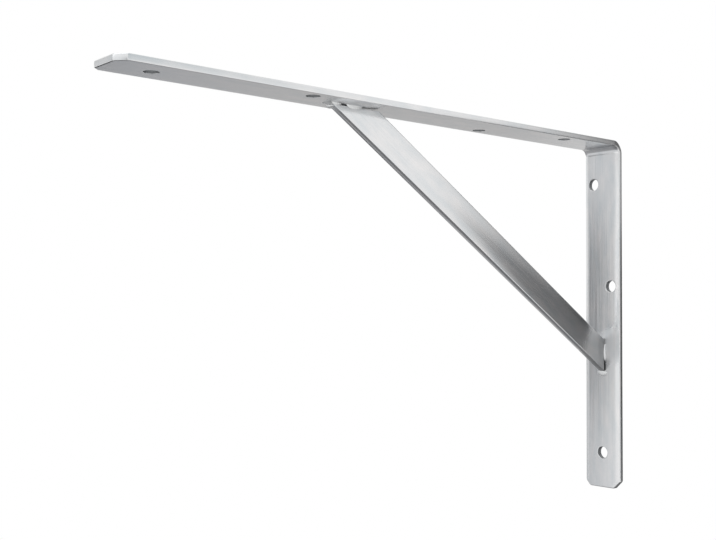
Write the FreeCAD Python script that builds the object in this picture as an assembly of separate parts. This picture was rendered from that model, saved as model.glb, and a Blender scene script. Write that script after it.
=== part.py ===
import FreeCAD, Part
import os
from math import atan, cos, sin, sqrt
from FreeCAD import Vector

# Gallows shelf bracket: one flat bar bent square into a shelf arm and a wall leg, with a diagonal brace
# of narrower bar set on edge between them and held by short weld beads at both ends.
# Millimetres. The wall is the plane x = 0, the arm points along +X, and Y runs across the bar.
# The origin is where the axis of the lowest wall hole meets the wall, so the shelf lies SHELF_Z above it.

# Bent bar
BAR_WIDTH = 30.0
BAR_THICK = 4.0
ARM_LENGTH = 400.0        # from the wall to the tip
LEG_LENGTH = 250.0        # from the shelf down to the foot
BEND_INNER_R = 5.0
NEAR_CLIP = 5.4           # corners cut off at 45 degrees at the tip and at the foot, on the +Y side
FAR_CLIP = 3.8            # and on the other side, where less was cut
CLIP_BLEND_R = 2.0        # softened corners of those cuts
BAR_EDGE_R = 0.4          # rolled edges of the bar

# Screw holes, staggered either side of the bar's centre line
HOLE_D = 8.5
HOLE_STAGGER = 7.5
TOP_HOLE_DROP = 30.0      # below the shelf, on the far side of the centre line
MIDDLE_HOLE_DROP = 105.0  # on the near side
LOW_HOLE_DROP = 225.0     # on the centre line
ROOT_HOLE_REACH = 55.5    # out from the wall, on the near side
INNER_HOLE_REACH = 125.0  # on the far side
OUTER_HOLE_REACH = 275.0  # on the near side
TIP_HOLE_REACH = 373.5    # on the centre line

# Diagonal brace, measured along its outer (lower) edge
BRACE_DEPTH = 20.0
BRACE_THICK = 5.0
BRACE_EDGE_R = 0.6
BRACE_REACH = 259.0       # where that edge's line meets the arm's underside
BRACE_DROP = 167.0        # where it meets the leg's front, below the shelf
FIT_UP_GAP = 1.0          # left between the sawn ends and the bar

# Weld beads
SIDE_BEAD_R = 1.9
SIDE_BEAD_RUN = 8.5       # straight middle of a side bead
SIDE_BEAD_ROOT = 1.4      # how far a side bead runs into the gap
ARM_BEAD_SHARE = 0.5      # where a side bead's middle lies along the sawn end, counted from the toe
LEG_BEAD_SHARE = 0.6
TOE_BEAD_R = 2.3
TOE_BEAD_RUN = 3.0

SHELF_Z = LOW_HOLE_DROP
BEND_OUTER_R = BEND_INNER_R + BAR_THICK
BRACE_SLOPE = atan((BRACE_DROP - BAR_THICK) / (BRACE_REACH - BAR_THICK))
CUT_ON_ARM = BRACE_DEPTH / sin(BRACE_SLOPE)
CUT_ON_LEG = BRACE_DEPTH / cos(BRACE_SLOPE)
ALONG_X, ALONG_Y, ALONG_Z = Vector(1, 0, 0), Vector(0, 1, 0), Vector(0, 0, 1)


def at(reach, across, drop):
    """The point this far out from the wall, across the bar and below the shelf."""
    return Vector(reach, across, SHELF_Z - drop)


def line(a, b):
    return Part.makeLine(a, b)


def arc(a, middle, b):
    return Part.Arc(a, middle, b).toShape()


def profile(edges):
    return Part.Face(Part.Wire(edges))


def sharp_edges(solid):
    """Edges whose two faces meet at a clear angle, so not those where a bend runs smoothly on."""
    found = []
    for edge in solid.Edges:
        faces = solid.ancestorsOfType(edge, Part.Face)
        if len(faces) != 2:
            continue
        middle = edge.valueAt((edge.FirstParameter + edge.LastParameter) / 2)
        a, b = (f.normalAt(*f.Surface.parameter(middle)) for f in faces)
        if abs(a.dot(b)) < 0.5:
            found.append(edge)
    return found


def bar_blank():
    """The side view of the bent bar, a square angle with a round bend, carried across its width."""
    y = -BAR_WIDTH / 2
    centre = BEND_OUTER_R
    nick = sqrt(0.5)

    def bend_middle(r):
        return at(centre - r * nick, y, centre - r * nick)

    outline = [
        line(at(ARM_LENGTH, y, 0), at(centre, y, 0)),
        arc(at(centre, y, 0), bend_middle(BEND_OUTER_R), at(0, y, centre)),
        line(at(0, y, centre), at(0, y, LEG_LENGTH)),
        line(at(0, y, LEG_LENGTH), at(BAR_THICK, y, LEG_LENGTH)),
        line(at(BAR_THICK, y, LEG_LENGTH), at(BAR_THICK, y, centre)),
        arc(at(BAR_THICK, y, centre), bend_middle(BEND_INNER_R), at(centre, y, BAR_THICK)),
        line(at(centre, y, BAR_THICK), at(ARM_LENGTH, y, BAR_THICK)),
        line(at(ARM_LENGTH, y, BAR_THICK), at(ARM_LENGTH, y, 0)),
    ]
    return profile(outline).extrude(ALONG_Y * BAR_WIDTH)


def end_edges(solid, sides=(1, -1)):
    """The short edges through the bar's thickness at the tip and at the foot, on the near or the far side."""
    def at_an_end(edge):
        centre = edge.CenterOfMass
        near_tip = centre.x > ARM_LENGTH - 2 * NEAR_CLIP
        near_foot = centre.z < SHELF_Z - LEG_LENGTH + 2 * NEAR_CLIP
        through = max(abs(edge.tangentAt(edge.FirstParameter).dot(v)) for v in (ALONG_X, ALONG_Z))
        return (near_tip or near_foot) and through > 0.99 and abs(edge.Length - BAR_THICK) < 1e-6

    return [e for e in solid.Edges if at_an_end(e) and any(e.CenterOfMass.y * side > 0 for side in sides)]


def wall_hole(across, drop):
    return Part.makeCylinder(HOLE_D / 2, 3 * BAR_THICK, at(-BAR_THICK, across, drop), ALONG_X)


def shelf_hole(reach, across):
    return Part.makeCylinder(HOLE_D / 2, 3 * BAR_THICK, at(reach, across, 2 * BAR_THICK), ALONG_Z)


def bent_bar():
    """Shelf arm and wall leg in one: clipped ends, softened edges all round, then the screw holes."""
    bar = bar_blank()
    bar = bar.makeChamfer(NEAR_CLIP, end_edges(bar, [1]))
    bar = bar.makeChamfer(FAR_CLIP, end_edges(bar, [-1]))
    bar = bar.makeFillet(CLIP_BLEND_R, end_edges(bar))
    bar = bar.makeFillet(BAR_EDGE_R, sharp_edges(bar))
    holes = [
        wall_hole(-HOLE_STAGGER, TOP_HOLE_DROP),
        wall_hole(HOLE_STAGGER, MIDDLE_HOLE_DROP),
        wall_hole(0, LOW_HOLE_DROP),
        shelf_hole(ROOT_HOLE_REACH, HOLE_STAGGER),
        shelf_hole(INNER_HOLE_REACH, -HOLE_STAGGER),
        shelf_hole(OUTER_HOLE_REACH, HOLE_STAGGER),
        shelf_hole(TIP_HOLE_REACH, 0),
    ]
    return bar.cut(holes)


def brace():
    """A flat bar on edge along the slope, sawn at both ends to lie along the arm and the leg."""
    up_slope = Vector(cos(BRACE_SLOPE), 0, sin(BRACE_SLOPE))
    inward = Vector(-sin(BRACE_SLOPE), 0, cos(BRACE_SLOPE))
    length = (BRACE_REACH - BAR_THICK) / cos(BRACE_SLOPE)
    spare = 2 * BRACE_DEPTH
    start = at(BAR_THICK, -BRACE_THICK / 2, BRACE_DROP) - up_slope * spare
    corners = [start, start + ALONG_Y * BRACE_THICK,
               start + ALONG_Y * BRACE_THICK + inward * BRACE_DEPTH, start + inward * BRACE_DEPTH]
    section = profile([line(a, b) for a, b in zip(corners, corners[1:] + corners[:1])])
    stock = section.extrude(up_slope * (length + 2 * spare))
    stock = stock.makeFillet(BRACE_EDGE_R, [e for e in stock.Edges if e.Length > length])
    inside = BAR_THICK + FIT_UP_GAP
    triangle = Part.makeBox(ARM_LENGTH, BAR_WIDTH, LEG_LENGTH, at(inside, -BAR_WIDTH / 2, inside + LEG_LENGTH))
    return stock.common(triangle)


def bead(middle, direction, run, radius, meets):
    """A round-ended run of weld metal laid on the line where the bar and the brace meet."""
    start = middle - direction * (run / 2)
    end = middle + direction * (run / 2)
    metal = Part.makeCylinder(radius, run, start, direction)
    metal = metal.fuse([Part.makeSphere(radius, start), Part.makeSphere(radius, end)]).removeSplitter()
    return metal.cut(meets)


def side_bead(middle, direction, side, meets):
    """A bead along one cheek of the brace, over a third of its sawn end and a little way into the gap."""
    reach = BAR_WIDTH
    inner = BRACE_THICK / 2 - SIDE_BEAD_ROOT
    keep = Part.makeBox(ARM_LENGTH, reach, LEG_LENGTH, at(0, inner if side > 0 else -inner - reach, LEG_LENGTH))
    root = middle + ALONG_Y * (side * BRACE_THICK / 2)
    return bead(root, direction, SIDE_BEAD_RUN, SIDE_BEAD_R, meets).common(keep)


def toe_bead(middle, meets):
    """A bead across the brace's outer edge, at the toe of its sawn end."""
    return bead(middle, ALONG_Y, TOE_BEAD_RUN, TOE_BEAD_R, meets)


def main():
    bar, strut = bent_bar(), brace()
    meets = [bar, strut]
    arm_seat = at(BRACE_REACH - ARM_BEAD_SHARE * CUT_ON_ARM, 0, BAR_THICK)
    leg_seat = at(BAR_THICK, 0, BRACE_DROP - LEG_BEAD_SHARE * CUT_ON_LEG)
    pieces = {
        "bent_bar": bar,
        "brace": strut,
        "arm_toe_weld": toe_bead(at(BRACE_REACH, 0, BAR_THICK), meets),
        "arm_near_weld": side_bead(arm_seat, ALONG_X, 1, meets),
        "arm_far_weld": side_bead(arm_seat, ALONG_X, -1, meets),
        "leg_toe_weld": toe_bead(at(BAR_THICK, 0, BRACE_DROP), meets),
        "leg_near_weld": side_bead(leg_seat, ALONG_Z, 1, meets),
        "leg_far_weld": side_bead(leg_seat, ALONG_Z, -1, meets),
    }
    os.makedirs("parts", exist_ok=True)
    for name, shape in pieces.items():
        solid = shape.Solids[0]
        solid.exportStep(f"parts/{name}.step")
        print(name, "solids", len(shape.Solids), "valid", solid.isValid(), "volume", round(solid.Volume, 1))


main()
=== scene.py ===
# %% [markdown]
# # A gallows shelf bracket
#
# The real thing is a strip of flat steel bent square, so that one end lies under a shelf and the other
# against the wall. A narrower strip stands on edge between them as a brace, and short weld beads hold it.
# All of it was then zinc plated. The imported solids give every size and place, so this lesson loads them
# first, as a fixed frame, and then lays finer surfaces where they are.

import bmesh
import bpy
import numpy as np
from mathutils import Matrix


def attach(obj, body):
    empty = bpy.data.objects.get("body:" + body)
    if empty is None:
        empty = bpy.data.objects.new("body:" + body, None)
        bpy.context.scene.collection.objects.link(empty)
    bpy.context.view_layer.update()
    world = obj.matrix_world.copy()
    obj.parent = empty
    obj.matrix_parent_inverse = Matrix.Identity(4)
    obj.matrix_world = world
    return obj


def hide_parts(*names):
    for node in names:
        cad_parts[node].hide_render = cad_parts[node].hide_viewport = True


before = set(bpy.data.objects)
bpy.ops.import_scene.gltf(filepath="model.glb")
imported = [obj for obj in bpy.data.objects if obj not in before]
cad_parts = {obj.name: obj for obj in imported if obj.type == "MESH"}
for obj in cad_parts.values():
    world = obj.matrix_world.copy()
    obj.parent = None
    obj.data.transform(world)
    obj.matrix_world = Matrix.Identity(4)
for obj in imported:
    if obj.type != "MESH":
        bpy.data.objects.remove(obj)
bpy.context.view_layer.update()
MM = 0.001
print("solids:", ", ".join(sorted(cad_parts)))

# %% [markdown]
# ## From arrays to a mesh
#
# Each piece below is a few patches. A patch is a grid of points worked out with numpy, and each cell of the
# grid becomes one four-sided face. Patches that share an edge are computed from the same numbers there, so
# merging the points that fall together sews them into one closed skin. That keeps the shapes in plain
# formulas, and no face has to be picked by hand.

# %% Patches and pieces
SEW = 2e-6


def patch(points, uv, keep=True, finish=0):
    """A grid of points in mm as quads: cell (i, j) joins points (i, j), (i+1, j), (i+1, j+1) and (i, j+1).
    uv holds two lengths in mm for each point, keep is True for each cell that stays, and finish is the number
    of each cell's material."""
    rows, cols = points.shape[:2]
    index = np.arange(rows * cols).reshape(rows, cols)
    quads = np.stack([index[:-1, :-1], index[1:, :-1], index[1:, 1:], index[:-1, 1:]], axis=-1)
    keep, finish = (np.broadcast_to(v, quads.shape[:2]) for v in (keep, finish))
    return points.reshape(-1, 3), quads[keep], uv.reshape(-1, 2), finish[keep]


def piece(name, patches):
    """Sews patches into one smooth mesh object. Its place is in its vertices, and the patches' lengths become
    its UV map."""
    starts = np.cumsum([0] + [len(p[0]) for p in patches[:-1]])
    points = np.concatenate([p[0] for p in patches]) * MM
    quads = np.concatenate([p[1] + start for p, start in zip(patches, starts)])
    lengths = np.concatenate([p[2] for p in patches]) * MM
    mesh = bpy.data.meshes.new(name)
    mesh.from_pydata(points, [], quads)
    mesh.uv_layers.new(name="lengths").data.foreach_set("uv", lengths[quads.ravel()].ravel())
    mesh.polygons.foreach_set("material_index", np.concatenate([p[3] for p in patches]).astype(np.int32))
    sewn = bmesh.new()
    sewn.from_mesh(mesh)
    bmesh.ops.remove_doubles(sewn, verts=sewn.verts, dist=SEW)
    bmesh.ops.recalc_face_normals(sewn, faces=sewn.faces)
    sewn.to_mesh(mesh)
    sewn.free()
    mesh.polygons.foreach_set("use_smooth", np.ones(len(mesh.polygons), bool))
    made = bpy.data.objects.new(name, mesh)
    bpy.context.scene.collection.objects.link(made)
    sides = np.empty(len(mesh.loops), int)
    mesh.loops.foreach_get("edge_index", sides)
    loose = int(np.count_nonzero(np.bincount(sides, minlength=len(mesh.edges)) != 2))
    print(f"{name}: {len(mesh.polygons)} faces, open edges {loose}")
    return made


def stand_for(made, node, slot, *finishes):
    """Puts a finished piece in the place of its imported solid, on the one body there is."""
    for finish in finishes:
        made.data.materials.append(finish)
    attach(made, "root")
    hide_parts(node)


# %% [markdown]
# ## Zinc plate on rolled bar
#
# Bright zinc plating is a thin metal coat, so it takes on the surface under it. Hot rolled and drawn bar
# has fine lines along its length, and the plating bath leaves soft clouds of slightly different tone, with
# a faint blue or pink cast. The eye sees a satin metal whose reflections are drawn out across the lines, so
# the highlight is anisotropic. Beside a weld the heat has roughened the steel, and reflections turn broad and
# dull there. An image could hold all that, but noise stretched along the bar does it at any size, so the
# bar's own UV map, which counts lengths along and across it, carries the noise and the dulled places.

# %% Colours and nodes
def linear(hex_colour):
    """An sRGB hex colour as linear RGBA: each channel c becomes c/12.92 up to 0.04045, and
    ((c+0.055)/1.055)^2.4 above."""
    c = np.array([int(hex_colour[i:i + 2], 16) for i in (1, 3, 5)]) / 255
    return (*np.where(c <= 0.04045, c / 12.92, ((c + 0.055) / 1.055) ** 2.4).tolist(), 1.0)


def add(tree, kind, inputs=None, **settings):
    """Adds one node. settings are its own options, and each input is a value or another node's output."""
    made = tree.nodes.new(kind)
    for name, value in settings.items():
        setattr(made, name, value)
    for name, value in (inputs or {}).items():
        if isinstance(value, bpy.types.NodeSocket):
            tree.links.new(value, made.inputs[name])
        else:
            made.inputs[name].default_value = value
    return made


def blank_material(name):
    """A new material with an empty node tree, and that tree."""
    made = bpy.data.materials.new(name)
    made.use_nodes = True
    made.node_tree.nodes.clear()
    return made, made.node_tree


def per(size_mm):
    """How many times a pattern of this size repeats in a metre."""
    return 1 / (size_mm * MM)


# %% Zinc plated rolled steel
# Drawing lines on such bar are about 0.2 mm wide, which this picture can't show, so they are drawn coarser.
LINE_WIDTH, LINE_RUN = 1.0, 70
CLOUD_WIDTH, CLOUD_RUN = 6, 18
# Most values of the noise lie in its middle, so that part is stretched over a pattern's whole range.
NOISE_MIDDLE = {"From Min": 0.3, "From Max": 0.7}
# Heat dulls the steel for a centimetre or more beside a weld, on the welded faces only. Each joint is a place
# along and across in the UV map, and its heat is where the dulling is full and where it ends, all in mm.
ARM_JOINT, LEG_JOINT, BRACE_FOOT = (159.6, 65), (541, 69), (8, 11)
# The brace's span also sets where its tone is darkened at the foot, as painted shade.
BAR_HEAT, BRACE_HEAT = (5, 16), (10, 32)
# The brace's sawn head is dulled right along it, so there the height counts, in mm.
HEAD_STARTS, HEAD_FULL = 215, 218.5


def zinc_plated_rolled_steel(name, joints, heat, smooth, rough, dulled, painted_joint_shade=1.0, head_dulled=0.0):
    """Satin metal with an anisotropic highlight. Stretched noise makes drawing lines in tone, height and
    roughness, which goes from smooth to rough, and broad noise makes clouds of tone. Near a joint the
    roughness grows by dulled, and the tone is multiplied by painted_joint_shade, which paints shade there. At
    the brace's head the roughness grows by head_dulled."""
    finish, tree = blank_material(name)
    lengths = add(tree, "ShaderNodeUVMap", uv_map="lengths").outputs["UV"]
    along = add(tree, "ShaderNodeMapping", {
        "Vector": lengths, "Scale": (per(LINE_RUN), per(LINE_WIDTH), 1)}).outputs[0]
    lines = add(tree, "ShaderNodeTexNoise", {"Vector": along, "Scale": 1.0, "Detail": 3.0}).outputs["Fac"]
    broad = add(tree, "ShaderNodeMapping", {
        "Vector": lengths, "Scale": (per(CLOUD_RUN), per(CLOUD_WIDTH), 1)}).outputs[0]
    clouds = add(tree, "ShaderNodeTexNoise", {"Vector": broad, "Scale": 1.0, "Detail": 2.0}).outputs["Fac"]

    tone = add(tree, "ShaderNodeMapRange", {"Value": clouds, **NOISE_MIDDLE}).outputs[0]
    tint = add(tree, "ShaderNodeMix", {"Factor": tone}, data_type="RGBA")
    tint.inputs["A"].default_value = linear("#DEE1E3")
    tint.inputs["B"].default_value = linear("#EBEAEA")
    streak = add(tree, "ShaderNodeMapRange", {
        "Value": lines, **NOISE_MIDDLE, "To Min": 0.95, "To Max": 1.0}).outputs[0]
    streaked = add(tree, "ShaderNodeVectorMath", {
        0: tint.outputs["Result"], "Scale": streak}, operation="SCALE").outputs[0]
    lined = add(tree, "ShaderNodeMapRange", {
        "Value": lines, **NOISE_MIDDLE, "To Min": smooth, "To Max": rough}).outputs[0]

    away = [add(tree, "ShaderNodeVectorMath", {
        0: lengths, 1: (a * MM, b * MM, 0)}, operation="DISTANCE").outputs["Value"] for a, b in joints]
    nearest = away[0]
    for other in away[1:]:
        nearest = add(tree, "ShaderNodeMath", {0: nearest, 1: other}, operation="MINIMUM").outputs[0]
    zone = {"Value": nearest, "From Min": heat[0] * MM, "From Max": heat[1] * MM}
    dull = add(tree, "ShaderNodeMapRange", {
        **zone, "To Min": dulled, "To Max": 0.0}, interpolation_type="SMOOTHSTEP").outputs[0]
    # Painted shade: the tone is darkened near a joint. Only the brace uses it, at its foot by the leg.
    dark = add(tree, "ShaderNodeMapRange", {
        **zone, "To Min": painted_joint_shade, "To Max": 1.0}, interpolation_type="SMOOTHSTEP").outputs[0]
    place = add(tree, "ShaderNodeTexCoord").outputs["Object"]
    height = add(tree, "ShaderNodeSeparateXYZ", {0: place}).outputs["Z"]
    head = add(tree, "ShaderNodeMapRange", {
        "Value": height, "From Min": HEAD_STARTS * MM, "From Max": HEAD_FULL * MM,
        "To Min": 0.0, "To Max": head_dulled}, interpolation_type="SMOOTHSTEP").outputs[0]
    dull = add(tree, "ShaderNodeMath", {0: dull, 1: head}, operation="MAXIMUM").outputs[0]

    roughness = add(tree, "ShaderNodeMath", {0: lined, 1: dull}, operation="ADD").outputs[0]
    colour = add(tree, "ShaderNodeVectorMath", {0: streaked, "Scale": dark}, operation="SCALE").outputs[0]
    grain = add(tree, "ShaderNodeBump", {"Height": lines, "Strength": 0.03, "Distance": 0.0002})
    lie = add(tree, "ShaderNodeTangent", direction_type="UV_MAP", uv_map="lengths")
    metal = add(tree, "ShaderNodeBsdfPrincipled", {
        "Base Color": colour, "Metallic": 1.0, "Roughness": roughness,
        "Anisotropic": 0.65, "Anisotropic Rotation": 0.25, "Tangent": lie.outputs[0],
        "Normal": grain.outputs["Normal"]})
    add(tree, "ShaderNodeOutputMaterial", {"Surface": metal.outputs[0]})
    return finish


bar_finish = zinc_plated_rolled_steel("zinc_plated_rolled_bar", [ARM_JOINT, LEG_JOINT], BAR_HEAT,
                                      smooth=0.17, rough=0.22, dulled=0.42)
# The brace's tone is darkened at its foot as painted shade.
brace_finish = zinc_plated_rolled_steel("zinc_plated_drawn_brace", [BRACE_FOOT], BRACE_HEAT,
                                        smooth=0.14, rough=0.18, dulled=0.3, painted_joint_shade=0.6, head_dulled=0.25)
print("finishes:", bar_finish.name, "and", brace_finish.name, "with lines", LINE_WIDTH, "mm wide")

# %% Punched and sawn steel
# A punch tears through the last third of the bar, and a saw leaves teeth marks, so these faces are dull and
# scored every half millimetre. Their dark tone is painted shade, in the holes and on the brace's sawn ends in
# the fit-up gaps.
SCORE = 0.5


def shade_painted_cut_steel(name, dark, pale):
    """Rough metal with scores from fine noise in object space, dark as painted shade."""
    finish, tree = blank_material(name)
    place = add(tree, "ShaderNodeTexCoord").outputs["Object"]
    scores = add(tree, "ShaderNodeTexNoise", {
        "Vector": place, "Scale": per(SCORE), "Detail": 3.0}).outputs["Fac"]
    tint = add(tree, "ShaderNodeMix", {"Factor": scores}, data_type="RGBA")
    tint.inputs["A"].default_value = linear(dark)
    tint.inputs["B"].default_value = linear(pale)
    rough = add(tree, "ShaderNodeMapRange", {"Value": scores, "To Min": 0.4, "To Max": 0.6})
    rise = add(tree, "ShaderNodeBump", {"Height": scores, "Strength": 0.3, "Distance": 0.0001})
    metal = add(tree, "ShaderNodeBsdfPrincipled", {
        "Base Color": tint.outputs["Result"], "Metallic": 1.0, "Roughness": rough.outputs[0],
        "Normal": rise.outputs["Normal"]})
    add(tree, "ShaderNodeOutputMaterial", {"Surface": metal.outputs[0]})
    return finish


# Painted shade: the hole walls and the sawn ends take these dark tones.
punched_finish = shade_painted_cut_steel("shade_painted_punched_steel", "#6E7072", "#A6A8AA")
sawn_finish = shade_painted_cut_steel("shade_painted_sawn_steel", "#38393A", "#626466")
print("finishes:", punched_finish.name, "and", sawn_finish.name)

# %% Zinc plated weld
# The bead froze from a puddle, so its plating is a little brighter and smoother than the bar's, with fine
# pits about half a millimetre across.
PIT = 0.5


def zinc_plated_weld():
    """Brighter metal with small pits from noise in object space."""
    finish, tree = blank_material("zinc_plated_weld_bead")
    place = add(tree, "ShaderNodeTexCoord").outputs["Object"]
    pits = add(tree, "ShaderNodeTexNoise", {"Vector": place, "Scale": per(PIT), "Detail": 2.0}).outputs["Fac"]
    tint = add(tree, "ShaderNodeMix", {"Factor": pits}, data_type="RGBA")
    tint.inputs["A"].default_value = linear("#DCDEDF")
    tint.inputs["B"].default_value = linear("#F1F1F0")
    rough = add(tree, "ShaderNodeMapRange", {"Value": pits, "To Min": 0.34, "To Max": 0.5})
    rise = add(tree, "ShaderNodeBump", {"Height": pits, "Strength": 0.2, "Distance": 0.0001})
    metal = add(tree, "ShaderNodeBsdfPrincipled", {
        "Base Color": tint.outputs["Result"], "Metallic": 1.0, "Roughness": rough.outputs[0],
        "Normal": rise.outputs["Normal"]})
    add(tree, "ShaderNodeOutputMaterial", {"Surface": metal.outputs[0]})
    return finish


weld_finish = zinc_plated_weld()
print("finish:", weld_finish.name)

# %% [markdown]
# ## The bent bar, flat first
#
# A bender cuts the strip to length, clips its corners, punches its holes, and only then folds it. The mesh
# follows the same order. The strip is laid out flat, where s is the distance from the tip along the middle
# of its thickness, y is across it, and n is above or below that middle. One formula then folds (s, y, n)
# round the bend. Working flat makes the rounded edges and the holes simple: both are a small profile
# carried round an outline.

# %% Sizes of the bar, in mm
WIDTH, THICK = 30.0, 4.0
ARM, LEG = 400.0, 250.0
SHELF_Z = 225.0
BEND_INNER = 5.0
BEND_MIDDLE, BEND_OUTER = BEND_INNER + THICK / 2, BEND_INNER + THICK
NEAR_CLIP, FAR_CLIP, CLIP_BLEND = 5.4, 3.8, 2.0
# The end edges were dressed after cutting, so they are rounder than the rolled long edges.
EDGE, END_EDGE, HOLE_LIP = 0.4, 0.9, 0.25
HOLE = 8.5 / 2
ARM_RUN = ARM - BEND_OUTER
BEND_RUN = BEND_MIDDLE * np.pi / 2
FLAT_LENGTH = ARM_RUN + BEND_RUN + LEG - BEND_OUTER
SHELF_HOLES = [(373.5, 0.0), (275.0, 7.5), (125.0, -7.5), (55.5, 7.5)]
WALL_HOLES = [(30.0, -7.5), (105.0, 7.5), (225.0, 0.0)]
holes = [(ARM - reach, y) for reach, y in SHELF_HOLES]
holes += [(ARM_RUN + BEND_RUN + drop - BEND_OUTER, y) for drop, y in WALL_HOLES]
print("flat length", round(FLAT_LENGTH, 1), "mm, holes at", [round(s, 1) for s, _ in holes])

# %% Fold
DRAW_IN = 0.35


def fold(s, y, n):
    """Folds flat points: straight along the arm, then a quarter circle of radius BEND_MIDDLE + n about the
    bend's centre, then straight down the leg. In the bend the outer skin stretches, so it is drawn in, by
    DRAW_IN at the most."""
    turn = np.clip((s - ARM_RUN) / BEND_MIDDLE, 0, np.pi / 2)
    radius = BEND_MIDDLE + n
    x = BEND_OUTER + ARM_RUN - np.minimum(s, ARM_RUN) - radius * np.sin(turn)
    z = SHELF_Z - BEND_OUTER + radius * np.cos(turn) - np.maximum(s - ARM_RUN - BEND_RUN, 0)
    pull = DRAW_IN * np.sin(2 * turn) ** 2 * (0.5 + n / THICK)
    return np.stack([x, y * (1 - pull / (WIDTH / 2)), z], axis=-1)


# %% Rolled faces
OUTER, INNER = 1, -1
ARM_CROWN, LEG_CROWN, OUTER_CROWN = 0.1, 0.25, 0.0625
ARM_ROLL, ARM_ROLL_RUN = 0.1, 3.3
LEG_ROLL, LEG_ROLL_RUN = 0.47, 4.0


def level(s, y, side):
    """Height of a broad face over the middle of the thickness. Rolling leaves each face a shallow arch, a
    parabola as deep as its crown. On the inner face the long edges also roll over: on the arm as a cubic in
    their last ARM_ROLL_RUN mm, and on the leg as a parabola in their last LEG_ROLL_RUN mm. Round the bend the
    one changes evenly into the other."""
    share = np.abs(y) / (WIDTH / 2)
    if side == OUTER:
        return THICK / 2 - OUTER_CROWN * share ** 2
    over_arm, over_leg = (np.clip((np.abs(y) - WIDTH / 2 + run) / run, 0, 1)
                          for run in (ARM_ROLL_RUN, LEG_ROLL_RUN))
    on_leg = np.clip((s - ARM_RUN) / BEND_RUN, 0, 1)
    rolled = ARM_ROLL * (1 - on_leg) * over_arm ** 3 + LEG_ROLL * on_leg * over_leg ** 2
    crown = ARM_CROWN * (1 - on_leg) + LEG_CROWN * on_leg
    return -(THICK / 2 - crown * share ** 2 - rolled)


# %% Outline of the flat strip
# Points along the strip: closer together beside the holes and in the bend than on the plain stretches.
END_RUN, HOLE_REACH, HOLE_STEPS, BEND_STEPS, PLAIN_STEP = 8.0, 6.0, 12, 28, 7.0
blocks = [(s - HOLE_REACH, s + HOLE_REACH, HOLE_STEPS) for s, _ in holes]
blocks = sorted(blocks + [(ARM_RUN, ARM_RUN + BEND_RUN, BEND_STEPS)])
stretches, at_s = [], END_RUN
for start, stop, steps in blocks + [(FLAT_LENGTH - END_RUN, FLAT_LENGTH - END_RUN, 1)]:
    gap_steps = max(1, int(np.ceil((start - at_s) / PLAIN_STEP)))
    stretches.append(np.linspace(at_s, start, gap_steps, endpoint=False))
    stretches.append(np.linspace(start, stop, steps, endpoint=False))
    at_s = stop
straight = np.concatenate(stretches)


def long_side(clip, side, steps=6):
    """One side of the strip from tip to foot: an arc of 45 degrees, the 45 degree clip, a second arc, the
    long edge, and the same again. Gives s and y of each point, and the outward direction there along both."""
    tangent = CLIP_BLEND * np.tan(np.pi / 8)
    turn = np.concatenate([np.linspace(0, np.pi / 4, steps), np.linspace(np.pi / 4, np.pi / 2, steps)])
    s = np.repeat([CLIP_BLEND, clip + tangent], steps) - CLIP_BLEND * np.cos(turn)
    w = np.repeat([WIDTH / 2 - clip - tangent, WIDTH / 2 - CLIP_BLEND], steps) + CLIP_BLEND * np.sin(turn)
    ones = np.ones_like(straight)
    return (np.concatenate([s, straight, FLAT_LENGTH - s[::-1]]),
            side * np.concatenate([w, ones * WIDTH / 2, w[::-1]]),
            np.concatenate([-np.cos(turn), 0 * ones, np.cos(turn)[::-1]]),
            side * np.concatenate([np.sin(turn), ones, np.sin(turn)[::-1]]))


near_side, far_side = long_side(NEAR_CLIP, 1), long_side(FAR_CLIP, -1)
print("points along each side:", len(near_side[0]))

# %% [markdown]
# ### Faces, edges and holes
#
# The two broad faces are one grid each, inset from the outline by the edge radius. Where a hole goes, a block
# of cells is left out, and rings of points lead from the block's border to the circle. A profile of two
# quarter circles and a wall between them then runs round the outline and round each hole, from one face to
# the other. The wall is straight in a punched hole, and bulges a little on the rolled sides of the bar. A
# boolean cut would do it too, but leaves slivers that spoil soft reflections on metal.

# %% Lips and rims
COLUMNS, LIP_STEPS, WALL_STEPS = 30, 6, 8
BULGE = 0.06
INNER_UV, RIM_UV = 2 * WIDTH, 4 * WIDTH
across = np.linspace(-1, 1, COLUMNS + 1)
across = 0.5 + (across + np.sin(across * np.pi / 2)) / 4


def spread(near, far):
    """Values from the far side to the near side of each row, closer together towards the edges."""
    return far[:, None] * (1 - across) + near[:, None] * across


def lip(radius, steps=LIP_STEPS):
    """A quarter circle as (distance from the wall, drop below the face), from the face round to the wall."""
    turn = np.linspace(0, np.pi / 2, steps + 1)
    return radius * (1 - np.sin(turn)), radius * (1 - np.cos(turn))


def edge_radius(ns):
    """Radius of the outline's edges: EDGE along the bar, and up to END_EDGE where the edge faces along it."""
    return EDGE + (END_EDGE - EDGE) * ns ** 2


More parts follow.
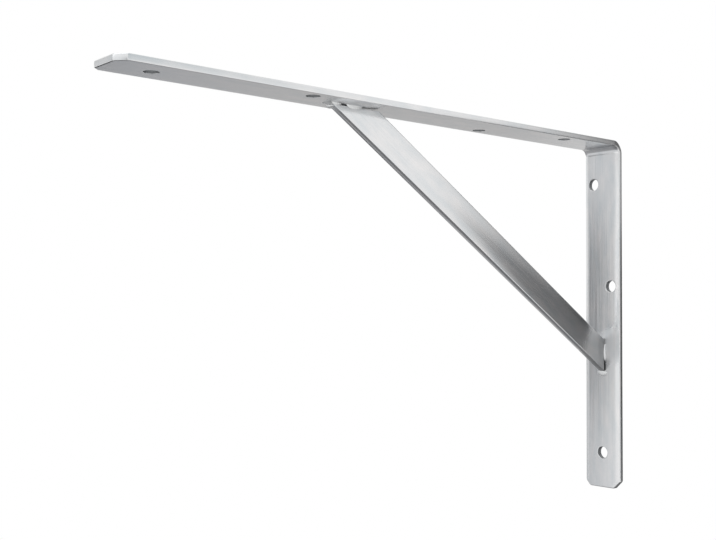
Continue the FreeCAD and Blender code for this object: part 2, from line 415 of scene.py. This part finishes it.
def rim(s, y, ns, ny, radius, bulge=0.0):
    """Carries a lip, a wall and a second lip round a closed outline. ns, ny point out of the metal. A point
    lies at the outline less its inset times that direction, and its height is the face's less the lip's drop.
    A rolled wall is a parabola, so its ends are inset by the bulge and its middle reaches the outline."""
    s, y, ns, ny, radius = (v[:, None] for v in np.broadcast_arrays(s, y, ns, ny, radius))
    inset, drop = lip(radius)
    share = np.linspace(0, 1, WALL_STEPS + 1)[1:-1] if bulge else np.empty(0)
    middle = bulge * (2 * share - 1) ** 2 + 0 * s
    inset = np.concatenate([inset + bulge, middle, inset[:, ::-1] + bulge], axis=1)
    s_face, y_face = s - (radius + bulge) * ns, y - (radius + bulge) * ny
    top, low = level(s_face, y_face, OUTER), level(s_face, y_face, INNER)
    wall = (top - radius) * (1 - share) + (low + radius) * share
    height = np.concatenate([top - drop, wall, low + drop[:, ::-1]], axis=1)
    points = fold(s - inset * ns, y - inset * ny, height)
    run = np.concatenate([[0], np.cumsum(np.hypot(np.diff(s[:, 0]), np.diff(y[:, 0])))])
    depth = np.concatenate([[0], np.cumsum(np.hypot(np.diff(inset[0]), np.diff(height[0])))])
    return points, np.stack(np.broadcast_arrays(run[:, None], depth + RIM_UV), axis=-1)


def face_uv(s, y, side):
    """Lengths along and across a broad face. The inner face lies INNER_UV further across than the outer."""
    return np.stack([s, y + (INNER_UV if side == INNER else 0)], axis=-1)


# %% Holes
near_inset, far_inset = (edge_radius(side[2]) + BULGE for side in (near_side, far_side))
face_s = spread(near_side[0] - near_inset * near_side[2], far_side[0] - far_inset * far_side[2])
face_y = spread(near_side[1] - near_inset * near_side[3], far_side[1] - far_inset * far_side[3])
keep = np.ones((len(face_s) - 1, COLUMNS), bool)
RING_SHARES = np.array([0.0, 0.2, 0.45, 0.7, 1.0])
ROW_SLACK, COLUMN_SLACK = 0.01, 0.5
wall_finish = np.where(np.arange(2 * LIP_STEPS + 1) == LIP_STEPS, 1, 0)
bar_patches = []
for s_hole, y_hole in holes:
    rows = np.flatnonzero(np.abs(face_s[:, 0] - s_hole) < HOLE_REACH + ROW_SLACK)
    cols = np.flatnonzero(np.abs(face_y[rows[0]] - y_hole) < HOLE_REACH + COLUMN_SLACK)
    i0, i1, j0, j1 = rows[0], rows[-1], cols[0], cols[-1]
    keep[i0:i1, j0:j1] = False
    ring_i = np.concatenate([np.full(j1 - j0, i0), np.arange(i0, i1),
                             np.full(j1 - j0, i1), np.arange(i1, i0 - 1, -1)])
    ring_j = np.concatenate([np.arange(j0, j1), np.full(i1 - i0, j1),
                             np.arange(j1, j0, -1), np.full(i1 - i0 + 1, j0)])
    ds, dy = face_s[ring_i, ring_j] - s_hole, face_y[ring_i, ring_j] - y_hole
    away = np.hypot(ds, dy)
    ways, wayy = ds / away, dy / away
    reach = (HOLE + HOLE_LIP) + (away[:, None] - HOLE - HOLE_LIP) * RING_SHARES
    ring_s, ring_y = s_hole + ways[:, None] * reach, y_hole + wayy[:, None] * reach
    for side in (OUTER, INNER):
        rings = fold(ring_s, ring_y, level(ring_s, ring_y, side))
        bar_patches.append(patch(rings, face_uv(ring_s, ring_y, side)))
    wall = rim(s_hole + ways * HOLE, y_hole + wayy * HOLE, -ways, -wayy, HOLE_LIP)
    bar_patches.append(patch(*wall, finish=wall_finish))
print("punched", len(holes), "holes of", 2 * HOLE, "mm")

# %% Bar
for side in (OUTER, INNER):
    face = fold(face_s, face_y, level(face_s, face_y, side))
    bar_patches.append(patch(face, face_uv(face_s, face_y, side), keep))


def round_outline(which, across_end):
    """One value for each point of the closed outline: across the tip, down the near side, back across the
    foot and up the far side. across_end gives the value across the tip and across the foot, or None to spread
    it from side to side."""
    near, far = near_side[which], far_side[which]
    tip, foot = (spread(near[[i]], far[[i]])[0] if across_end is None else np.full(COLUMNS + 1, across_end[i])
                 for i in (0, -1))
    return np.concatenate([tip, near[1:], foot[::-1][1:], far[::-1][1:]])


outline = [round_outline(which, ends) for which, ends in enumerate([None, None, (-1, 1), (0, 0)])]
bar_patches.append(patch(*rim(*outline, edge_radius(outline[2]), BULGE)))
bent_bar = piece("bent_flat_bar", bar_patches)
stand_for(bent_bar, "bent_bar", "zinc_plated_bar", bar_finish, punched_finish)

# %% [markdown]
# ## The brace
#
# The brace is a shorter strip set on edge, sawn at both ends so that it lies along the arm and along the leg.
# Its section is a rectangle with rolled corners and slightly swelled narrow edges, carried up the slope. Each
# line of the section starts on the plane of one saw cut and stops on the plane of the other, so the grid ends
# on both cuts by itself. A small radius, where the burr was taken off, leads round into each cut.

# %% Sizes of the brace, in mm
DEPTH, BRACE_THICK, BRACE_EDGE = 20.0, 5.0, 0.7
REACH, DROP, FIT_UP_GAP = 259.0, 167.0, 1.0
slope = np.arctan((DROP - THICK) / (REACH - THICK))
BURR, SWELL = 0.25, 0.3
print("slope of the brace", round(float(np.degrees(slope)), 1), "degrees")


# %% Brace patches
def rolled_section(steps=6):
    """A strip's section, DEPTH by BRACE_THICK: flat cheeks, a quarter circle at each corner, and narrow edges
    that are parabolas SWELL high. Gives depth, across, and the outward direction of each point, closed."""
    turn = np.linspace(0, np.pi / 2, steps + 1)
    half, low = BRACE_THICK / 2 - BRACE_EDGE, BRACE_EDGE + SWELL
    corners = [np.stack([centre_q + BRACE_EDGE * np.cos(turn + k * np.pi / 2),
                         centre_y + BRACE_EDGE * np.sin(turn + k * np.pi / 2),
                         np.cos(turn + k * np.pi / 2), np.sin(turn + k * np.pi / 2)])
               for k, (centre_q, centre_y) in enumerate([(DEPTH - low, half), (low, half), (low, -half),
                                                         (DEPTH - low, -half)])]
    edge_y = half * np.linspace(1, -1, 2 * steps + 1)[1:-1]
    edge_q, flat = SWELL * (edge_y / half) ** 2, np.ones_like(edge_y)
    outer_edge = np.stack([edge_q, edge_y, -flat, 0 * flat])
    inner_edge = np.stack([DEPTH - edge_q, -edge_y, flat, 0 * flat])
    return np.concatenate([*corners[:2], outer_edge, *corners[2:], inner_edge, corners[0][:, :1]], axis=1)


def brace_point(q, y, share, from_leg, from_arm):
    """A point of the brace: q in from its outer edge, y across, and a share of the way from the leg's saw
    cut, moved off by from_leg, to the arm's, moved off by from_arm."""
    start = (FIT_UP_GAP + from_leg + q * np.sin(slope)) / np.cos(slope)
    stop = (DROP - THICK - FIT_UP_GAP - from_arm - q * np.cos(slope)) / np.sin(slope)
    along = start + (stop - start) * share
    x = THICK + along * np.cos(slope) - q * np.sin(slope)
    z = SHELF_Z - DROP + along * np.sin(slope) + q * np.cos(slope)
    return np.stack([x, y + 0 * x, z], axis=-1), along


inset, off = (v[:, None] for v in lip(BURR, 3))
lengthwise = np.linspace(0, 1, 41)[:, None]
q, y, nq, ny = rolled_section()
around = np.concatenate([[0], np.cumsum(np.hypot(np.diff(q), np.diff(y)))])
brace_patches = []
for share, from_leg, from_arm, pull in [(0.0, off, BURR, inset), (lengthwise, BURR, BURR, 0.0),
                                        (1.0, BURR, off, inset)]:
    points, along = brace_point(q - pull * nq, y - pull * ny, share, from_leg, from_arm)
    brace_patches.append(patch(points, np.stack(np.broadcast_arrays(along, around), axis=-1)))
shrink = np.linspace(1, 0, 3)[:, None]
for share, from_leg, from_arm in [(0.0, 0.0, BURR), (1.0, BURR, 0.0)]:
    face_q, face_across = DEPTH / 2 + (q - BURR * nq - DEPTH / 2) * shrink, (y - BURR * ny) * shrink
    points, along = brace_point(face_q, face_across, share, from_leg, from_arm)
    brace_patches.append(patch(points, np.stack([face_q, face_across], axis=-1), finish=1))
brace = piece("brace_bar", brace_patches)
stand_for(brace, "brace", "zinc_plated_bar", brace_finish, sawn_finish)

# %% [markdown]
# ## Weld beads
#
# A bead is laid in short steps, and each step freezes as a small half-moon ridge on the one before. So the
# bead is a low bulge, from the bar's face to the brace's cheek, that swells and sinks along its length in
# curved ripples and runs out to a point at both ends. It is a single formula in two parameters. At the
# brace's upper toe a droplet hangs beside the bead across the toe, and a thin tail runs along the near cheek.

# %% Bead surface
RIPPLE_PITCH, RIPPLE = 1.5, 0.06
STEPS_ALONG, STEPS_ROUND = 61, 19
END_POWER, SINK, ROOT_LEAN, UV_STEP = 0.55, 0.12, 0.3, 0.2
ROUND, FULL, FLAT, BROAD = 1.0, 1.2, 1.7, 0.8


def bead(corner, run_way, bar_way, brace_way, bar_leg, brace_leg, length, root, shape):
    """Points at corner + t*run_way + a*bar_way + b*brace_way, with t along the bead and v from the bar to the
    brace. a = bar_leg*cos(v)^shape and b = brace_leg*sin(v)^shape: shape 1 is a quarter round and 2 a flat
    chamfer. Both are scaled by (1 - u^2)^END_POWER towards the ends, u = 2t/length, and by ripples whose
    crests lag behind in the middle. v goes SINK past both ends to sink into the steel, and the root runs back
    to close it."""
    u = np.sin(np.linspace(-np.pi / 2, np.pi / 2, STEPS_ALONG))[:, None]
    v = np.linspace(-SINK, np.pi / 2 + SINK, STEPS_ROUND)
    t = u * length / 2
    bulge = np.sin(2 * np.clip(v, 0, np.pi / 2))
    wave = np.sin(2 * np.pi * (t / RIPPLE_PITCH + 0.5 * bulge))
    size = np.clip(1 - u ** 2, 0, 1) ** END_POWER * (1 - RIPPLE + RIPPLE * wave * bulge)
    power = [np.sign(f) * np.abs(f) ** shape for f in (np.cos(v), np.sin(v))]
    a, b = bar_leg * size * power[0], brace_leg * size * power[1]
    back = -root * size[:, :1]
    a = np.concatenate([a, back, a[:, :1]], axis=1)
    b = np.concatenate([b, ROOT_LEAN * back, b[:, :1]], axis=1)
    way = [np.array(w, float) for w in (run_way, bar_way, brace_way)]
    points = np.array(corner, float) + t[..., None] * way[0] + a[..., None] * way[1] + b[..., None] * way[2]
    return patch(points, np.stack(np.broadcast_arrays(t, np.arange(a.shape[1]) * UV_STEP), axis=-1))


# %% Six beads
ALONG_ARM, ACROSS, UP = (1, 0, 0), (0, 1, 0), (0, 0, 1)
OUT_OF_WALL, DOWN, BACK_ACROSS = (1, 0, 0), (0, 0, -1), (0, -1, 0)
down_slope = (-np.cos(slope), 0, -np.sin(slope))
up_slope = (np.cos(slope), 0, np.sin(slope))
# Length and root of each kind of bead, and where the side beads lie along the sawn ends, from the toe.
SIDE, TOE, TAIL, DROPLET = (12.3, 1.2), (8.4, 0.4), (8.0, 0.6), (5.6, 3.2)
ARM_SHARE, LEG_SHARE = 0.5, 0.6
cheek = BRACE_THICK / 2
underside = SHELF_Z - THICK
arm_seat = REACH - ARM_SHARE * DEPTH / np.sin(slope)
leg_seat = SHELF_Z - DROP + LEG_SHARE * DEPTH / np.cos(slope)
arm_near, arm_far = (arm_seat, cheek, underside), (arm_seat, -cheek, underside)
leg_near, leg_far = (THICK, cheek, leg_seat), (THICK, -cheek, leg_seat)
arm_toe, leg_toe = (REACH, 0, underside), (THICK, 0, SHELF_Z - DROP)
droplet, tail = (REACH - 3.0, -0.8, underside - 1.6), (REACH - 4.7, cheek, underside)
beads = {
    "arm_near_weld": [bead(arm_near, ALONG_ARM, ACROSS, DOWN, 0.6, 2.2, *SIDE, FLAT)],
    "arm_far_weld": [bead(arm_far, ALONG_ARM, BACK_ACROSS, DOWN, 1.9, 1.9, *SIDE, FLAT)],
    "leg_near_weld": [bead(leg_near, UP, ACROSS, OUT_OF_WALL, 1.0, 1.6, *SIDE, FULL)],
    "leg_far_weld": [bead(leg_far, UP, BACK_ACROSS, OUT_OF_WALL, 1.9, 1.9, *SIDE, FULL)],
    "arm_toe_weld": [bead(arm_toe, ACROSS, ALONG_ARM, down_slope, 2.3, 2.3, *TOE, BROAD),
                     bead(droplet, ACROSS, ALONG_ARM, DOWN, 2.4, 1.8, *DROPLET, ROUND),
                     bead(tail, ALONG_ARM, ACROSS, DOWN, 0.5, 1.3, *TAIL, FLAT)],
    "leg_toe_weld": [bead(leg_toe, ACROSS, DOWN, up_slope, 3.2, 1.4, *TOE, FULL)],
}
for node, surfaces in beads.items():
    stand_for(piece(node + "_bead", surfaces), node, "zinc_plated_weld", weld_finish)

# %% [markdown]
# ## Studio
#
# Bright metal shows its surroundings more than itself, so a photographer builds them: a white room, and grey
# or black cards hung outside the frame, where a surface should turn darker. The world here is white to the
# camera and in reflections, and each card is a patch of a dome round the bracket, given by the compass angle
# and height that it covers, which thins out towards its edges as a soft card does. Only reflections see them.

# %% World and lamps
scene = bpy.context.scene
scene.view_settings.view_transform = "Standard"
world = bpy.data.worlds.new("white_studio")
world.use_nodes = True
scene.world = world
tree = world.node_tree
tree.nodes.clear()
path = add(tree, "ShaderNodeLightPath").outputs
seen = add(tree, "ShaderNodeMath", {0: path["Is Camera Ray"], 1: path["Is Glossy Ray"]}, operation="ADD")
seen = add(tree, "ShaderNodeMath", {0: seen.outputs[0], 1: path["Is Transmission Ray"]},
           operation="ADD", use_clamp=True)
fill = add(tree, "ShaderNodeBackground", {"Color": linear("#E4E8EC"), "Strength": 0.5})
white = add(tree, "ShaderNodeBackground", {"Color": linear("#FFFFFF"), "Strength": 1.0})
both = add(tree, "ShaderNodeMixShader", {0: seen.outputs[0], 1: fill.outputs[0], 2: white.outputs[0]})
add(tree, "ShaderNodeOutputWorld", {"Surface": both.outputs[0]})
centre = np.array([0.16, 0.0, 0.12])


def around_centre(compass, height, distance):
    """A point on a dome: compass turns from +X towards +Y, height is above the horizon, both in degrees."""
    a, e = np.radians(compass), np.radians(height)
    way = np.stack(np.broadcast_arrays(np.cos(a) * np.cos(e), np.sin(a) * np.cos(e), np.sin(e)), axis=-1)
    return centre + way * distance


def softbox(name, compass, height, distance, size, radiance):
    """A square lamp on the dome, turned to the centre. Its power is radiance times pi times its area, as for
    an evenly glowing sheet."""
    lamp = bpy.data.lights.new(name, "AREA")
    lamp.size = size
    lamp.energy = radiance * np.pi * size ** 2
    holder = bpy.data.objects.new(name, lamp)
    scene.collection.objects.link(holder)
    place = around_centre(compass, height, distance)
    back = (place - centre) / distance
    right = np.cross((0, 0, 1) if height < 80 else (0, 1, 0), back)
    right /= np.linalg.norm(right)
    turned = np.column_stack([right, np.cross(back, right), back, place])
    holder.matrix_world = Matrix(np.vstack([turned, [0, 0, 0, 1]]).tolist())
    holder.visible_camera = False
    print("softbox", name, "radiance", radiance)


softbox("overhead_softbox", 20, 75, 1.5, 1.2, 1.0)
softbox("front_softbox", 5, 30, 1.6, 0.7, 0.4)


# %% Cards
CARD_STEPS = 61, 41


def ease(t):
    """Rises from 0 to 1 as 3t^2 - 2t^3."""
    t = np.clip(t, 0, 1)
    return t * t * (3 - 2 * t)


def card(name, tone, compass, height, distance=1.9):
    """A card bent to the dome. compass and height each give four angles: where it starts, is solid, is solid
    until, and ends. Its cover is the product of the two eased trapeziums, and is kept in its UV map."""
    c, h = np.meshgrid(np.linspace(compass[0], compass[3], CARD_STEPS[0]),
                       np.linspace(height[0], height[3], CARD_STEPS[1]), indexing="ij")
    cover = np.prod([ease((at - a) / (b - a)) * ease((e - at) / (e - d))
                     for at, (a, b, d, e) in ((c, compass), (h, height))], axis=0)
    made = piece(name, [patch(around_centre(c, h, distance) / MM, np.stack([cover, cover], axis=-1) / MM)])
    finish, tree = blank_material(name + "_paint")
    solid = add(tree, "ShaderNodeUVMap", uv_map="lengths").outputs["UV"]
    solid = add(tree, "ShaderNodeSeparateXYZ", {0: solid}).outputs["X"]
    clear = add(tree, "ShaderNodeBsdfTransparent")
    glow = add(tree, "ShaderNodeEmission", {"Color": linear(tone), "Strength": 1.0})
    mixed = add(tree, "ShaderNodeMixShader", {0: solid, 1: clear.outputs[0], 2: glow.outputs[0]})
    add(tree, "ShaderNodeOutputMaterial", {"Surface": mixed.outputs[0]})
    made.data.materials.append(finish)
    for kind in ("camera", "diffuse", "transmission", "volume_scatter", "shadow"):
        setattr(made, "visible_" + kind, False)


card("dark_card_by_wall", "#6E6E6F", (132.8, 135.3, 185, 200), (-24, -14, 3.5, 9.5), 2.0)
card("dark_card_behind_wall", "#5C5C5D", (158, 172, 212, 225), (4, 11, 18, 28), 1.98)
card("dark_card_by_bend", "#5C5C5D", (137.8, 148.5, 170, 180), (4, 9, 18, 34), 1.96)
card("black_card_by_leg", "#161617", (145.3, 149.0, 170, 180), (-24, -14, 4, 9), 1.94)
card("dark_card_low_by_wall", "#2E2E2F", (143, 152, 192, 204), (-47, -41, -27, -20), 1.47)
card("grey_card_behind", "#B8B7B7", (202, 222, 285, 300), (-60, -30, -4, 2))
card("grey_card_behind_tip", "#A9AAAD", (234, 252, 285, 300), (-60, -30, -4, 2), 1.88)
card("dark_card_low_behind", "#3A3A3B", (247, 252, 288, 297), (-34, -28, -20, -14), 1.87)
card("grey_card_under_bend", "#A2A2A4", (234, 246, 300, 318), (-57, -51, -42, -35), 1.48)
card("pale_card_in_front", "#C0C2C5", (-62, -50, -42.5, -35), (-24, -13, 8, 20))
card("grey_card_in_front", "#5E5F62", (-53, -46, -40.5, -35.7), (-11, -3, 3.5, 9.5), 1.88)
card("pale_card_high_in_front", "#DDDEE0", (-44, -38, -31, -25), (5, 9, 14, 20), 1.87)
card("pale_card_low_in_front", "#D8D9DB", (-75, -60, -25, -5), (-52, -40, -24, -13), 1.86)
card("pale_card_at_tip", "#D6D8D9", (-75, -66, -56, -50), (11, 14, 22, 30), 1.84)
card("pale_card_at_right", "#CDD4D7", (60, 85, 104, 132), (6, 14, 34, 48))
card("dark_card_by_camera", "#A9AAAC", (22, 32, 52, 64), (-32, -22, 6, 13))
card("dark_mat_below", "#747476", (61, 62, 419, 420), (-91, -90, -54, -36), 1.5)


# %% Floor
# Pale paper far below the bracket, which fades into the white of the room towards its rim.
FLOOR_Z, FLOOR_RADIUS = -1.6, 2.8
FLOOR_GLOW, FADE_STARTS, FADE_ENDS = 0.6, 1.0, 2.6
ring, turn = np.meshgrid(np.linspace(0, FLOOR_RADIUS, 9), np.linspace(0, 2 * np.pi, 73), indexing="ij")
flat = np.stack([centre[0] + ring * np.cos(turn), ring * np.sin(turn), np.full_like(ring, FLOOR_Z)], axis=-1)
floor = piece("pale_floor", [patch(flat / MM, np.stack([ring, turn], axis=-1))])
floor_paint, tree = blank_material("pale_paper_floor")
place = add(tree, "ShaderNodeTexCoord").outputs["Object"]
from_middle = add(tree, "ShaderNodeVectorMath", {0: place, 1: (centre[0], 0, FLOOR_Z)}, operation="DISTANCE")
fade = add(tree, "ShaderNodeMapRange", {
    "Value": from_middle.outputs["Value"], "From Min": FADE_STARTS, "From Max": FADE_ENDS,
    "To Min": FLOOR_GLOW}, interpolation_type="SMOOTHSTEP")
paper = add(tree, "ShaderNodeBsdfDiffuse", {"Color": linear("#EDEDEB")})
glow = add(tree, "ShaderNodeEmission", {"Color": linear("#FFFFFF"), "Strength": 1.0})
mixed = add(tree, "ShaderNodeMixShader", {0: fade.outputs[0], 1: paper.outputs[0], 2: glow.outputs[0]})
add(tree, "ShaderNodeOutputMaterial", {"Surface": mixed.outputs[0]})
floor.data.materials.append(floor_paint)

# %% [markdown]
# ## Camera
#
# The photograph looks along the bracket from in front of the wall and a little below the shelf. Matching the
# corners and holes of the solids to those in the picture gave the place, the three angles and the focal
# length, so nothing is shifted or cropped.

# %% Camera
PICTURE_WIDTH, FOCAL_PIXELS = 716, 1072.0
YAW, PITCH, ROLL = np.radians([50.354, 2.563, 0.405])
STANDS = np.array([638.785, 487.471, SHELF_Z - 129.149]) * MM
look = np.array([-np.cos(YAW) * np.cos(PITCH), -np.sin(YAW) * np.cos(PITCH), np.sin(PITCH)])
level_right = np.array([-np.sin(YAW), np.cos(YAW), 0])
level_up = np.cross(level_right, look)
right = level_right * np.cos(ROLL) + level_up * np.sin(ROLL)
up = -level_right * np.sin(ROLL) + level_up * np.cos(ROLL)
lens = bpy.data.cameras.new("camera")
lens.sensor_fit, lens.sensor_width = "HORIZONTAL", 36.0
lens.lens = FOCAL_PIXELS / PICTURE_WIDTH * lens.sensor_width
camera = bpy.data.objects.new("camera", lens)
scene.collection.objects.link(camera)
turned = np.column_stack([right, up, -look, STANDS])
camera.matrix_world = Matrix(np.vstack([turned, [0, 0, 0, 1]]).tolist())
scene.camera = camera
print("camera", np.round(STANDS, 3), "lens", round(lens.lens, 2), "mm")
